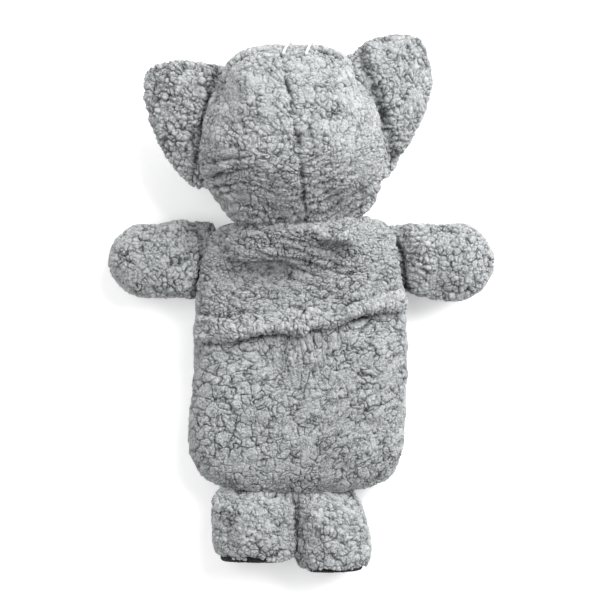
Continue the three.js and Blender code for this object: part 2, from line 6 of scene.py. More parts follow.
import bmesh
import bpy
import numpy as np
from mathutils import Euler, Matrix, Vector


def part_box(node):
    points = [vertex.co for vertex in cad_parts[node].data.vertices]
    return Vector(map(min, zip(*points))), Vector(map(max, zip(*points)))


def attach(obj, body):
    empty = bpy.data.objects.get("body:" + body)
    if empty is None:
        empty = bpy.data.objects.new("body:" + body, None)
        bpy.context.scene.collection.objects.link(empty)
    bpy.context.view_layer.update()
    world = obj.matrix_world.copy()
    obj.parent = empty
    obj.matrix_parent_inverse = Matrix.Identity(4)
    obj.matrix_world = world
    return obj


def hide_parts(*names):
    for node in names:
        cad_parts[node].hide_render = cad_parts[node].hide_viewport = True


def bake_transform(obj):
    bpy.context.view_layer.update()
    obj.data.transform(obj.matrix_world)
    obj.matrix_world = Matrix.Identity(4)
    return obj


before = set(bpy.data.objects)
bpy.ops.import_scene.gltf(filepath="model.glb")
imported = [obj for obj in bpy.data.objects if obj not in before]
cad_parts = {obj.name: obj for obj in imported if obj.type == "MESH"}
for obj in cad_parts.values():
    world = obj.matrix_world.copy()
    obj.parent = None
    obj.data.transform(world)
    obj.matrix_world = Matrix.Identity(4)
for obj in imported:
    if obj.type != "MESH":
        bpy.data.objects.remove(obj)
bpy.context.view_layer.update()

MM = 0.001
scene = bpy.context.scene

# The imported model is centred, so it lies this far from the part's own origin (millimetres).
SHIFT = np.array([0.2, 1.52, 0.0])

# How finely each form is made before its pile is raised (millimetres).
SIZE = 0.95
PAD_SIZE = 4.4
LIMB_SIZE = 4.0
EAR_SIZE = 2.4
TRUNK_SIZE = 3.0
SOLE_SIZE = 1.2

# The cloth simulation that blows up the stuffed pieces.
SIM_FRAMES = 20
CLOTH_MASS = 0.01
CLOTH_STEPS = 6
CLOTH_PRESSURE = 6.0
SEAM_SLOPE = 0.28  # a face is beside the rim seam if its normal is this flat, or flatter


# ---------------------------------------------------------------- camera

def make_camera():
    """Straight above, with the crown of the head at the top of the picture."""
    data = bpy.data.cameras.new("camera")
    camera = bpy.data.objects.new("camera", data)
    scene.collection.objects.link(camera)
    height = 2.2
    level, across = 0.044, 0.402  # the picture is that wide at that height above the floor
    camera.location = (0.0002, 0.0039, height)
    data.angle = 2 * math.atan(across / 2 / (height - level))
    data.clip_start, data.clip_end = 0.1, 10
    scene.camera = camera


make_camera()


# ---------------------------------------------------------------- curves and shared maths

def ramp(low, high, value):
    """Smoothly from 0 at low to 1 at high."""
    t = np.clip((value - low) / (high - low), 0, 1)
    return t * t * (3 - 2 * t)


def mound(away, width):
    """1 where away is 0, falling smoothly to nothing over about two widths to either side."""
    return np.exp(-((away / width) ** 2))


def catmull(points, count, closed=True):
    """count points, evenly spaced, on a centripetal Catmull-Rom curve through points."""
    p = np.array(points, float)
    if closed:
        p = np.vstack([p[-1], p, p[0], p[1]])
    else:
        p = np.vstack([2 * p[0] - p[1], p, 2 * p[-1] - p[-2]])
    fine = []
    for a, b, c, d in zip(p, p[1:], p[2:], p[3:]):
        knots = [0.0]
        for u, v in ((a, b), (b, c), (c, d)):
            knots.append(knots[-1] + max(1e-6, np.linalg.norm(v - u)) ** 0.5)
        t0, t1, t2, t3 = knots
        t = np.linspace(t1, t2, 24, endpoint=False)[:, None]
        a1 = (t1 - t) / (t1 - t0) * a + (t - t0) / (t1 - t0) * b
        a2 = (t2 - t) / (t2 - t1) * b + (t - t1) / (t2 - t1) * c
        a3 = (t3 - t) / (t3 - t2) * c + (t - t2) / (t3 - t2) * d
        b1 = (t2 - t) / (t2 - t0) * a1 + (t - t0) / (t2 - t0) * a2
        b2 = (t3 - t) / (t3 - t1) * a2 + (t - t1) / (t3 - t1) * a3
        fine.append((t2 - t) / (t2 - t1) * b1 + (t - t1) / (t2 - t1) * b2)
    fine = np.vstack(fine + [p[-2][None]])
    along = np.concatenate([[0], np.cumsum(np.linalg.norm(np.diff(fine, axis=0), axis=1))])
    want = np.linspace(0, along[-1], count + closed)[:count]
    return np.stack([np.interp(want, along, fine[:, k]) for k in range(fine.shape[1])], 1)


def star(outline, centre):
    """rho of points: 0 at the centre of a star-shaped outline and 1 on it."""
    rim = catmull(outline, 480) - centre
    angle = np.arctan2(rim[:, 1], rim[:, 0])
    order = np.argsort(angle)
    angle, radius = angle[order], np.hypot(rim[:, 0], rim[:, 1])[order]
    angle = np.concatenate([angle - 2 * np.pi, angle, angle + 2 * np.pi])
    radius = np.tile(radius, 3)

    def rho(x, y):
        dx, dy = x - centre[0], y - centre[1]
        return np.hypot(dx, dy) / np.interp(np.arctan2(dy, dx), angle, radius)

    return rho


def swell(rho, power):
    """1 in the middle of a stuffed form, falling to 0 at its seam."""
    return np.sqrt(np.clip(1 - np.clip(rho, 0, 1) ** power, 0, 1))


def side_height(depth, power, level=0.0):
    """The height of one side of a stuffed form, for quilt."""
    return lambda x, y, rho: level + depth * swell(rho, power)


# ---------------------------------------------------------------- noise

def scatter(cell, seed, count=3):
    """count numbers, up to three, from 0 to 1 for each whole-numbered cell."""
    x, y, z = (cell[:, k].astype(np.int64) for k in range(3))
    h = (x * 73856093) ^ (y * 19349663) ^ (z * 83492791) ^ (seed * 2654435761)
    out = []
    for mix in (2246822519, 3266489917, 668265263)[:count]:
        h = (h ^ (h >> 15)) * mix & 0xFFFFFFFF
        h = h ^ (h >> 13)
        out.append((h & 0xFFFFFF) / float(0x1000000))
    return np.stack(out, 1)


def noise(p, size, seed):
    """Smooth noise from -1 to 1, with features about size across."""
    q = p / size
    base = np.floor(q)
    f = q - base
    f = f * f * (3 - 2 * f)
    total = np.zeros(len(p))
    for corner in product((0, 1), repeat=3):
        value = scatter(base + corner, seed, 1)[:, 0] * 2 - 1
        x, y, z = (f[:, k] if far else 1 - f[:, k] for k, far in enumerate(corner))
        total += value * (x * y * z)
    return total


def cells(p, size, seed):
    """Distances, in cells, to the nearest and the second nearest of points, scattered one to each
    cell."""
    q = p / size
    base = np.floor(q)
    near, second = np.full(len(p), 9.0), np.full(len(p), 9.0)
    for step in product((-1, 0, 1), repeat=3):
        cell = base + step
        away = np.linalg.norm(cell + 0.1 + 0.8 * scatter(cell, seed) - q, axis=1)
        second = np.minimum(second, np.maximum(near, away))
        near = np.minimum(near, away)
    return near, second


# ---------------------------------------------------------------- meshes

def mesh_object(name, points, faces):
    """An object from points in millimetres."""
    mesh = bpy.data.meshes.new(name)
    mesh.from_pydata((np.asarray(points) * MM).tolist(), [], [list(map(int, f)) for f in faces])
    mesh.validate()
    mesh.update()
    obj = bpy.data.objects.new(name, mesh)
    scene.collection.objects.link(obj)
    return obj


def read(items, field, width=1, kind=np.float32):
    """One value, or a row of width values, for each of a mesh's items."""
    out = np.zeros(len(items) * width, kind)
    items.foreach_get(field, out)
    return out.reshape(-1, width) if width > 1 else out


def coords(obj):
    return read(obj.data.vertices, "co", 3).astype(float) / MM


def set_coords(obj, points):
    obj.data.vertices.foreach_set("co", (np.asarray(points) * MM).astype(np.float32).ravel())
    obj.data.update()


def normals(obj):
    return read(obj.data.vertices, "normal", 3).astype(float)


def applied(obj):
    """Applies the object's modifiers."""
    bpy.context.view_layer.update()
    graph = bpy.context.evaluated_depsgraph_get()
    mesh = bpy.data.meshes.new_from_object(obj.evaluated_get(graph))
    old = obj.data
    obj.modifiers.clear()
    obj.data = mesh
    bpy.data.meshes.remove(old)


def remeshed(obj, size):
    """Even quads of about that size, in millimetres, all over."""
    modifier = obj.modifiers.new("remesh", "REMESH")
    modifier.mode = "VOXEL"
    modifier.voxel_size = size * MM
    modifier.use_smooth_shade = True
    applied(obj)


def smoothed(obj, times):
    modifier = obj.modifiers.new("smooth", "SMOOTH")
    modifier.factor, modifier.iterations = 0.5, times
    applied(obj)


def subdivided(obj, levels):
    modifier = obj.modifiers.new("subdivide", "SUBSURF")
    modifier.levels = modifier.render_levels = levels
    applied(obj)


def refined(obj, least=-0.3):
    """Splits each face that looks up, or not too far down, into four."""
    mesh = bmesh.new()
    mesh.from_mesh(obj.data)
    mesh.normal_update()
    edges = list({e for f in mesh.faces if f.normal.z > least for e in f.edges})
    bmesh.ops.subdivide_edges(mesh, edges=edges, cuts=1, use_grid_fill=True, smooth=0.0)
    mesh.to_mesh(obj.data)
    mesh.free()
    obj.data.update()


def puffed(obj, cap, more_pins=None, grow=0.07):
    """Blows the piece up as cloth that is pinned along its rim seam, where it swells and wrinkles
    between its seams by at most cap. It keeps its size, because its mean swell along its normals is
    taken off again."""
    before, out = coords(obj), normals(obj)
    pinned = np.abs(out[:, 2]) < SEAM_SLOPE
    if more_pins is not None:
        pinned |= more_pins(before)
    group = obj.vertex_groups.new(name="seam")
    group.add(np.nonzero(pinned)[0].tolist(), 1.0, "REPLACE")
    modifier = obj.modifiers.new("cloth", "CLOTH")
    modifier.point_cache.frame_start, modifier.point_cache.frame_end = 1, SIM_FRAMES
    cloth = modifier.settings
    cloth.quality, cloth.mass = CLOTH_STEPS, CLOTH_MASS
    cloth.use_pressure, cloth.uniform_pressure_force = True, CLOTH_PRESSURE
    cloth.effector_weights.gravity = 0
    cloth.shrink_min = -grow
    cloth.vertex_group_mass = "seam"
    for step in range(1, SIM_FRAMES + 1):
        scene.frame_set(step)
    shown = obj.evaluated_get(bpy.context.evaluated_depsgraph_get()).data
    move = read(shown.vertices, "co", 3).astype(float) / MM - before
    far = np.linalg.norm(move, axis=1)
    move *= np.minimum(1, cap / np.maximum(far, 1e-6))[:, None]
    swelled = np.einsum("ij,ij->i", move, out)[~pinned].mean()
    move -= out * (swelled * ~pinned)[:, None]
    obj.modifiers.clear()
    obj.vertex_groups.clear()
    scene.frame_set(1)
    set_coords(obj, before + move)


def plumped(obj, size, cap, smooth=2, levels=2, fine=True, **more):
    """Evenly meshed, blown up as cloth, and then divided as finely as its pile needs."""
    remeshed(obj, size)
    if smooth:
        smoothed(obj, smooth)
    puffed(obj, cap, **more)
    subdivided(obj, levels)
    if fine:
        refined(obj)


def faces_out(obj):
    """Turns the faces out if they look in."""
    p = coords(obj)
    obj.data.calc_loop_triangles()
    tri = read(obj.data.loop_triangles, "vertices", 3, np.int32)
    a, b, c = (p[tri[:, k]] for k in range(3))
    if np.einsum("ij,ij->i", a, np.cross(b, c)).sum() < 0:
        obj.data.flip_normals()
    return obj


def tube_faces(rows, around):
    """Faces of a closed form: a first point, rows of points around it, and a last point."""
    faces = []
    at = lambda row, i: 1 + row * around + i % around
    last = 1 + rows * around
    for i in range(around):
        faces.append((0, at(0, i), at(0, i + 1)))
        for row in range(rows - 1):
            faces.append((at(row, i), at(row + 1, i), at(row + 1, i + 1), at(row, i + 1)))
        faces.append((last, at(rows - 1, i + 1), at(rows - 1, i)))
    return faces


def quilt(name, outline, centre, top, bottom, place=None, around=160, rings=26):
    """A sewn form: the solid between the heights top(x, y, rho) and bottom(x, y, rho)."""
    centre = np.array(centre, float)
    rim = catmull(outline, around)
    rows = []
    steps = list(range(1, rings + 1))
    for height, order in ((top, steps), (bottom, steps[::-1])):
        for ring in order:
            rho = math.sin(math.pi / 2 * ring / rings)
            xy = centre + (rim - centre) * rho
            z = height(xy[:, 0], xy[:, 1], np.full(around, rho))
            rows.append(np.column_stack([xy, z]))
    at_centre = [np.array([v]) for v in (*centre, 0.0)]
    middle = lambda height: [*centre, float(height(*at_centre)[0])]
    points = np.vstack([[middle(top)], *rows, [middle(bottom)]])
    obj = mesh_object(name, points, tube_faces(len(rows), around))
    area = np.sum(rim[:, 0] * np.roll(rim[:, 1], -1) - np.roll(rim[:, 0], -1) * rim[:, 1])
    if area < 0:
        obj.data.flip_normals()
    if place:
        set_coords(obj, place(coords(obj)))
    return faces_out(obj)


def loft(name, path, side, half_width, half_depth, count=60, around=48):
    """A tapering form along a path of points, with the half sizes that two functions of s give."""
    line = catmull(path, count, closed=False)
    side = np.array(side, float)
    tangent = np.gradient(line, axis=0)
    tangent /= np.linalg.norm(tangent, axis=1)[:, None]
    up = np.cross(tangent, side)
    up /= np.linalg.norm(up, axis=1)[:, None]
    angle = np.linspace(0, 2 * np.pi, around, endpoint=False)
    s = np.linspace(0, 1, count)
    rows = [
        line[k]
        + np.cos(angle)[:, None] * half_width(s[k]) * side
        + np.sin(angle)[:, None] * half_depth(s[k]) * up[k]
        for k in range(count)
    ]
    points = np.vstack([line[:1], *rows, line[-1:]])
    obj = mesh_object(name, points, tube_faces(count, around))
    obj.data.flip_normals()
    return faces_out(obj)


# ---------------------------------------------------------------- curly pile

# The noise's own grid is turned away from the toy's flat sides, so it doesn't show.
GRAIN = np.array(Euler((0.61, 0.83, 0.37)).to_matrix())


def fleece(p, nub=3.3, clump=11.0, depth=1.5, seed=1, matted=0.0):
    """Height in millimetres and painted shading (painted shade, 0, in a crack, and painted light,
    1, on a curl) of curled pile at points p. Matted pile, from 0 to 1, has lost some of its curls,
    and parts along longer cracks."""
    loose = 1 - matted
    p = p @ GRAIN
    drift = np.stack([noise(p, 4.4, seed + k) for k in range(3)], 1)
    wave = np.stack([noise(p, 14.0, seed + 10 + k) for k in range(3)], 1)
    laid = p + 1.3 * drift + 2.4 * wave
    merge = (0.40 + 0.60 * ramp(-0.40, 0.20, noise(p, 5.5, seed + 15))) * (0.45 + 0.55 * loose)
    near, second = cells(laid, nub, seed + 20)
    gap = (1 - ramp(0.0, 0.22, second - near)) * merge
    dome = np.clip(1 - near * near, 0, 1)
    shown = ramp(-0.30, 0.25, noise(p, 10.0, seed + 16) + 0.3 * matted)
    near2, second2 = cells(laid + 1.4 * drift, clump, seed + 30)
    parting = (1 - ramp(0.0, 0.13, second2 - near2)) * shown
    bulge = np.clip(1 - near2 * near2, 0, 1)
    near3, second3 = cells(p + 0.8 * drift, nub * 0.52, seed + 40)
    curl = ramp(0.0, 0.4, second3 - near3) * 0.6 + 0.4 * np.clip(1 - near3, 0, 1)
    height = 0.62 * (1 - gap) + 0.42 * dome * loose + 0.25 * matted - 0.70 * parting
    height += 0.50 * bulge + 0.42 * (curl - 0.5) + 0.2
    # painted shading: the cracks and partings are darker and the tops of the curls lighter
    painted_shading = 0.86 - 0.55 * gap - (0.36 + 0.20 * matted) * parting
    painted_shading += 0.28 * (curl - 0.55) + 0.18 * (dome - 0.6) * loose + 0.10 * (bulge - 0.6)
    return depth * height, np.clip(painted_shading, 0, 1)


def ridges(value, sharp=0.6):
    """Rounded ridges with narrow valleys between them, one to each whole number of value."""
    return np.abs(np.sin(np.pi * value)) ** sharp


def store(obj, name, values, kind="FLOAT"):
    attribute = obj.data.attributes.get(name) or obj.data.attributes.new(name, kind, "POINT")
    values = np.asarray(values, np.float32)
    attribute.data.foreach_set("vector" if kind == "FLOAT_VECTOR" else "value", values.ravel())


def lay_flat(obj, base, out):
    """A UV layer of two charts, the upper side and the lower, each laid out around its own peak."""
    mesh = obj.data
    layer = mesh.uv_layers.new(name="OFBake")
    loops = read(mesh.loops, "vertex_index", kind=np.int32)
    totals = read(mesh.polygons, "loop_total", kind=np.int32)
    face = np.repeat(np.arange(len(totals)), totals)
    lift = np.bincount(face, weights=out[loops, 2], minlength=len(totals)) / totals
    centre = (base.min(0) + base.max(0)) / 2
    uv = np.zeros((len(loops), 2))
    for upper in (True, False):
        pick = (lift[face] >= 0) == upper
        if not pick.any():
            continue
        v = base[loops[pick]]
        peak = v[:, 2].max() if upper else v[:, 2].min()
        flat = v[:, :2] - centre[:2]
        radius = np.maximum(np.linalg.norm(flat, axis=1), 1e-6)
        spread = np.sqrt(radius**2 + (v[:, 2] - peak) ** 2)
        flat = flat / radius[:, None] * spread[:, None]
        low, size = flat.min(0), np.ptp(flat, axis=0).max() + 1e-6
        uv[pick] = (flat - low) / size * (0.49, 0.98) + ((0.005 if upper else 0.505), 0.01)
    layer.data.foreach_set("uv", uv.astype(np.float32).ravel())


def furred(obj, shape=None, depth=1.5, nub=3.3, clump=11.0, seed=1, sink=0.9, comb=None,
           beneath=1.0, matted=0.0):
    """Raises curly pile on a dense mesh. shape(p, normal) gives the height and the painted shading
    to add for its folds, and comb(p) the points that the pile is laid out on where it is pressed
    together.
    beneath is how much of its height the pile that faces down keeps. Pile that faces down is also
    painted darker, as painted shade."""
    base, out = coords(obj), normals(obj)
    lay_flat(obj, base, out)
    more, shade = shape(base, out) if shape else (0.0, 0.0)
    laid = comb(base) if comb else base
    height, painted_shading = fleece(laid, nub, clump, depth, seed, matted)
    height *= 1 - (1 - beneath) * ramp(0.0, -0.5, out[:, 2])
    moved = base + out * (height + more - sink * depth)[:, None]
    set_coords(obj, moved)
    # painted shade: pile that faces down is made darker
    under = 0.16 * ramp(0.15, -0.75, out[:, 2])
    store(obj, "pile_painted_shading", np.clip(painted_shading + shade - under, 0, 1))
    store(obj, "pile_at", laid * MM, "FLOAT_VECTOR")
    obj.data.polygons.foreach_set("use_smooth", np.ones(len(obj.data.polygons), bool))
    obj.data.update()


# ---------------------------------------------------------------- materials

def new_material(name):
    material = bpy.data.materials.new(name)
    material.use_nodes = True
    tree = material.node_tree
    tree.nodes.clear()
    out = tree.nodes.new("ShaderNodeOutputMaterial")
    shader = tree.nodes.new("ShaderNodeBsdfPrincipled")
    tree.links.new(shader.outputs["BSDF"], out.inputs["Surface"])
    return material, tree, shader


def plug(tree, made, inputs):
    """Sets a node's inputs to values, or links them to other nodes' sockets."""
    for key, value in inputs.items():
        if isinstance(value, bpy.types.NodeSocket):
            tree.links.new(value, made.inputs[key])
        else:
            made.inputs[key].default_value = value


def node(tree, kind, inputs=(), **settings):
    made = tree.nodes.new("ShaderNode" + kind)
    for key, value in settings.items():
        setattr(made, key, value)
    plug(tree, made, dict(inputs))
    return made


def math_node(tree, operation, *values, **settings):
    """The output of a Math node over two or three values or sockets."""
    made = node(tree, "Math", dict(enumerate(values)), operation=operation, **settings)
    return made.outputs[0]


def colour_ramp(tree, fac, stops):
    made = node(tree, "ValToRGB", {"Fac": fac})
    elements = made.color_ramp.elements
    while len(elements) < len(stops):
        elements.new(0.5)
    for element, (place, colour) in zip(elements, stops):
        element.position = place
        element.color = (*colour, 1)
    return made.outputs["Color"]


def pile_material(name, dark, middle, light, sheen=0.3):
    """Curled pile: painted shade in its cracks, painted light on its curls, fuzzy, with fine
    fibres.
    """
    material, tree, shader = new_material(name)
    at = node(tree, "Attribute", attribute_name="pile_at").outputs["Vector"]
    painted_shading = node(tree, "Attribute", attribute_name="pile_painted_shading").outputs["Fac"]
    bend = node(tree, "TexNoise", {"Vector": at, "Scale": 330.0, "Detail": 2.0})
    bend = node(tree, "VectorMath", {0: bend.outputs["Color"], 1: (0.5,) * 3}, operation="SUBTRACT")
    bend = node(tree, "VectorMath", {0: bend.outputs[0], "Scale": 0.0042}, operation="SCALE")
    bent = node(tree, "VectorMath", {0: at, 1: bend.outputs[0]}, operation="ADD").outputs[0]

    def cracks(scale, width, shown_scale):
        """1 along some of the thin cracks between curls."""
        edge = {"Vector": bent, "Scale": scale}
        edge = node(tree, "TexVoronoi", edge, feature="DISTANCE_TO_EDGE")
        line = {"Value": edge.outputs["Distance"], "From Max": width, "To Min": 1.0, "To Max": 0.0}
        line = node(tree, "MapRange", line, interpolation_type="SMOOTHSTEP")
        shown = node(tree, "TexNoise", {"Vector": at, "Scale": shown_scale, "Detail": 1.0})
        shown = {"Value": shown.outputs["Fac"], "From Min": 0.38, "From Max": 0.58}
        shown = node(tree, "MapRange", shown)
        return math_node(tree, "MULTIPLY", line.outputs[0], shown.outputs[0])

    coarse, fine = cracks(330.0, 0.15, 170.0), cracks(640.0, 0.22, 260.0)
    # painted shade: the thin cracks between curls are taken off the colour
    both = math_node(tree, "MULTIPLY", coarse, 0.31)
    both = math_node(tree, "MULTIPLY_ADD", fine, 0.36, both)
    fibre = {"Vector": at, "Scale": 1500.0, "Detail": 3.0, "Roughness": 0.65, "Distortion": 1.2}
    fibre = node(tree, "TexNoise", fibre).outputs["Fac"]
    patch = node(tree, "TexNoise", {"Vector": at, "Scale": 42.0, "Detail": 2.0}).outputs["Fac"]
    total = math_node(tree, "MULTIPLY_ADD", fibre, 0.40, -0.20)
    total = math_node(tree, "MULTIPLY_ADD", patch, 0.16, total)
    total = math_node(tree, "ADD", total, painted_shading)
    total = math_node(tree, "SUBTRACT", total, both, use_clamp=True)
    colour = colour_ramp(tree, total, [(0.0, dark), (0.45, middle), (1.0, light)])
    hair = node(tree, "TexNoise", {"Vector": at, "Scale": 2600.0, "Detail": 2.0, "Distortion": 2.0})
    rise = math_node(tree, "ADD", hair.outputs["Fac"], fibre)
    rise = math_node(tree, "MULTIPLY_ADD", both, -1.6, rise)
    bump = node(tree, "Bump", {"Height": rise, "Strength": 0.8, "Distance": 0.0007})
    plug(tree, shader, {
        "Base Color": colour, "Normal": bump.outputs["Normal"], "Roughness": 0.95,
        "Specular IOR Level": 0.15, "Sheen Weight": sheen, "Sheen Roughness": 0.55,
    })
    return material


# The dark colour is for the painted shade in cracks and folds, the light one for the painted light
# on the curls.
PILE = pile_material(
    "grey_pile", (0.035, 0.039, 0.042), (0.245, 0.258, 0.262), (0.505, 0.518, 0.522),
)
SOLE = pile_material(
    "sole_pile", (0.003, 0.003, 0.004), (0.008, 0.008, 0.010), (0.020, 0.020, 0.023), 0.1,
)


def woven_material(name, base, thread, roughness=0.85, scale=900.0):
    material, tree, shader = new_material(name)
    at = node(tree, "TexCoord").outputs["Object"]
    wave = {"Vector": at, "Scale": scale, "Distortion": 0.4}
    warp, weft = (
        node(tree, "TexWave", wave, bands_direction=way).outputs["Fac"] for way in ("X", "Y")
    )
    both = math_node(tree, "MAXIMUM", warp, weft)
    spots = node(tree, "TexNoise", {"Vector": at, "Scale": 160.0, "Detail": 4.0})
    fac = math_node(tree, "MULTIPLY", both, spots.outputs["Fac"])
    colour = colour_ramp(tree, fac, [(0.1, thread), (0.8, base)])
    bump = node(tree, "Bump", {"Height": both, "Strength": 0.4, "Distance": 0.0003})
    plug(tree, shader, {
        "Base Color": colour, "Normal": bump.outputs["Normal"], "Roughness": roughness,
        "Sheen Weight": 0.15,
    })
    return material


COTTON = woven_material("cotton", (0.80, 0.76, 0.67), (0.52, 0.48, 0.40))
CORD = woven_material("cord", (0.93, 0.93, 0.91), (0.70, 0.70, 0.68), 0.6, 1500.0)


def plastic_material(name, dark, light, roughness, coat=0.0):
    material, tree, shader = new_material(name)
    at = node(tree, "TexCoord").outputs["Object"]
    grain = node(tree, "TexNoise", {"Vector": at, "Scale": 300.0, "Detail": 5.0}).outputs["Fac"]
    colour = colour_ramp(tree, grain, [(0.3, dark), (0.7, light)])
    rough = {"Value": grain, "To Min": roughness, "To Max": roughness + 0.12}
    rough = node(tree, "MapRange", rough).outputs[0]
    plug(tree, shader, {"Base Color": colour, "Roughness": rough, "Coat Weight": coat})
    return material


EYE = plastic_material("eye_black", (0.004, 0.004, 0.005), (0.012, 0.012, 0.013), 0.08, 0.6)
WASHER = plastic_material("washer_white", (0.72, 0.72, 0.70), (0.82, 0.82, 0.80), 0.4)


def dressed(obj, material):
    obj.data.materials.clear()
    obj.data.materials.append(material)


def joined(obj, at, way):
    """Bakes the limb's placement into its mesh."""
    start = np.array(at) + SHIFT - way * 3
    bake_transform(obj)


# ---------------------------------------------------------------- hanging loop

HEAD_PIVOT = np.array([-3.0, 55.7, 0.0])
HEAD_LEVEL = 44.5
TILT = math.radians(3)


def in_head(p):
    """Points in the head's own frame, as points in the model's."""
    x, y, z = np.asarray(p, float).T
    c, s = math.cos(TILT), math.sin(TILT)
    turned = np.stack([c * x - s * y, s * x + c * y, z + HEAD_LEVEL], 1)
    return turned + HEAD_PIVOT + SHIFT


LOOP_PATH = [
    (-2.5, 110.2, 23.9), (-1, 113.6, 19.9), (0.6, 116.6, 14.6), (2, 118.8, 7), (3, 119.3, -3),
    (3.6, 119.2, -14), (5, 119, -23), (7.4, 118.9, -27.6), (10.7, 118.8, -29.2),
    (14, 118.8, -27.4), (16.2, 118.8, -23), (17.2, 118.7, -14), (17.2, 118.6, -3),
    (16.6, 118, 7), (15.6, 115.8, 14.6), (14, 112.4, 19.9), (12.6, 109, 23.9),
]
LOOP_RADIUS = 0.75


def make_loop():
    """The cord loop, both ends caught in the crown."""
    path = catmull(in_head(LOOP_PATH), 64, closed=False)
    data = bpy.data.curves.new("hang_loop_cord", "CURVE")
    data.dimensions = "3D"
    data.bevel_depth = LOOP_RADIUS * MM
    data.bevel_resolution = 4
    data.use_fill_caps = True
    spline = data.splines.new("POLY")
    spline.points.add(len(path) - 1)
    for point, place in zip(spline.points, path * MM):
        point.co = (*place, 1)
    obj = bpy.data.objects.new("hang_loop_cord", data)
    scene.collection.objects.link(obj)
    dressed(obj, CORD)
    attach(obj, "head")
    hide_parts("hang_loop")


make_loop()


# ---------------------------------------------------------------- torso and flap

TORSO_CENTRE = (0.0, -34.0)
TORSO_OUTLINE = [
    (0, 56), (43, 59), (61, 53), (68, 24), (72.3, -8), (73, -50), (71, -84), (64.5, -112.5),
    (45, -124.5), (0, -128.5), (-46, -125), (-69.5, -113), (-76.5, -90), (-72.5, -54),
    (-71, -12), (-68, 22), (-60, 48), (-44, 55),
]
FLAP_EDGE = [
    (-80, -24), (-50, -26), (-28, -21), (-9, -20), (3, -21.5), (6, -17.5), (20, -16.5),
    (41, -8.5), (80, -3),
]
FABRIC = 4.5
POCKET_TOP = 12.0
# The two sides of the body meet around its rim, where they are this thick.
RIM = (0.86, 0.95)
SEAM_LAP = 0.9
HEM = [(-57, 17.5), (-45, 18), (-23, 15.5), (-7, 19), (8, 15), (22, 11.5), (41, 12), (63, 14)]
NECK_FOLD = [(-45, 45), (-25.5, 48), (0, 49.3), (23.5, 45.5), (35, 42.5), (46, 38)]
torso_rho = star(TORSO_OUTLINE, TORSO_CENTRE)


def torso_mid(x, y):
    return 20 + 23 * ramp(16, 54, y) * (1 - ramp(26, 64, np.abs(x)))


def torso_dip(x, y):
    return 5 * (1 - ramp(0, 1, np.hypot((x + 20) / 46, (y - 19) / 22)))


def torso_back(x, y, rho):
    return torso_mid(x, y) + 1.35 + (19.8 - torso_dip(x, y)) * swell(rho, 4)


def torso_front(x, y, rho):
    return np.maximum(0.0, torso_mid(x, y) - 1.35 - 20.2 * swell(rho, 4))


def edge_height(x):
    """Where the flap's lower edge is, across the back."""
    edge = catmull(FLAP_EDGE, 200, closed=False)
    return np.interp(x, edge[:, 0], edge[:, 1])


def hem_width(x):
    """From the flap's lower edge up to the stitching of its hem."""
    return np.interp(x, *zip(*HEM))


def panel(name, inside, top, bottom, size, bounds):
    """A thick panel over the points where inside(x, y) is above 0, between two heights."""
    (x0, x1), (y0, y1) = bounds
    nx, ny = int((x1 - x0) / size) + 1, int((y1 - y0) / size) + 1
    xs, ys = np.meshgrid(np.linspace(x0, x1, nx), np.linspace(y0, y1, ny), indexing="ij")
    x, y = xs.ravel(), ys.ravel()
    kept = inside(x, y) > 0
    index = -np.ones(len(x), int)
    cell = kept.reshape(nx, ny)
    whole = cell[:-1, :-1] & cell[1:, :-1] & cell[1:, 1:] & cell[:-1, 1:]
    ids = np.arange(len(x)).reshape(nx, ny)
    corners = (ids[:-1, :-1], ids[1:, :-1], ids[1:, 1:], ids[:-1, 1:])
    quads = np.stack([corner[whole] for corner in corners], 1)
    used = np.unique(quads)
    index[used] = np.arange(len(used))
    quads = index[quads]
    x, y = x[used], y[used]
    upper = np.column_stack([x, y, top(x, y)])
    lower = np.column_stack([x, y, bottom(x, y)])
    n = len(used)
    faces = [tuple(q) for q in quads] + [tuple(q[::-1] + n) for q in quads]
    edges = np.concatenate([quads[:, [k, (k + 1) % 4]] for k in range(4)])
    key = np.sort(edges, 1)
    _, first, count = np.unique(key, axis=0, return_index=True, return_counts=True)
    for a, b in edges[first[count == 1]]:
        faces.append((b, a, a + n, b + n))
    return mesh_object(name, np.vstack([upper, lower]) + SHIFT, faces)


def torso_comb(p):
    """Pile stretched in slanting lines towards the right side, and upwards under the hem."""
    x, y = p[:, 0], p[:, 1]
    out = p.copy()
    slant = ramp(-60, 45, x) * (1 - ramp(-40, -10, y))
    along = (x * 0.62 - (y + 65) * 0.78) * 0.36 * slant
    out[:, 0] += 0.62 * along
    out[:, 1] -= 0.78 * along
    out[:, 0] += x * 0.8 * mound(x - 4, 36) * ramp(-66, -38, y)
    return out


def torso_lumps(p, out):
    """Unevenness all round, the same on both sides of the body's seam, but none underneath."""
    clear = 1 - ramp(0.2, 0.8, -out[:, 2])
    return (1.3 * noise(p, 9, 331) + 1.1 * noise(p, 20, 332)) * clear, 0.0


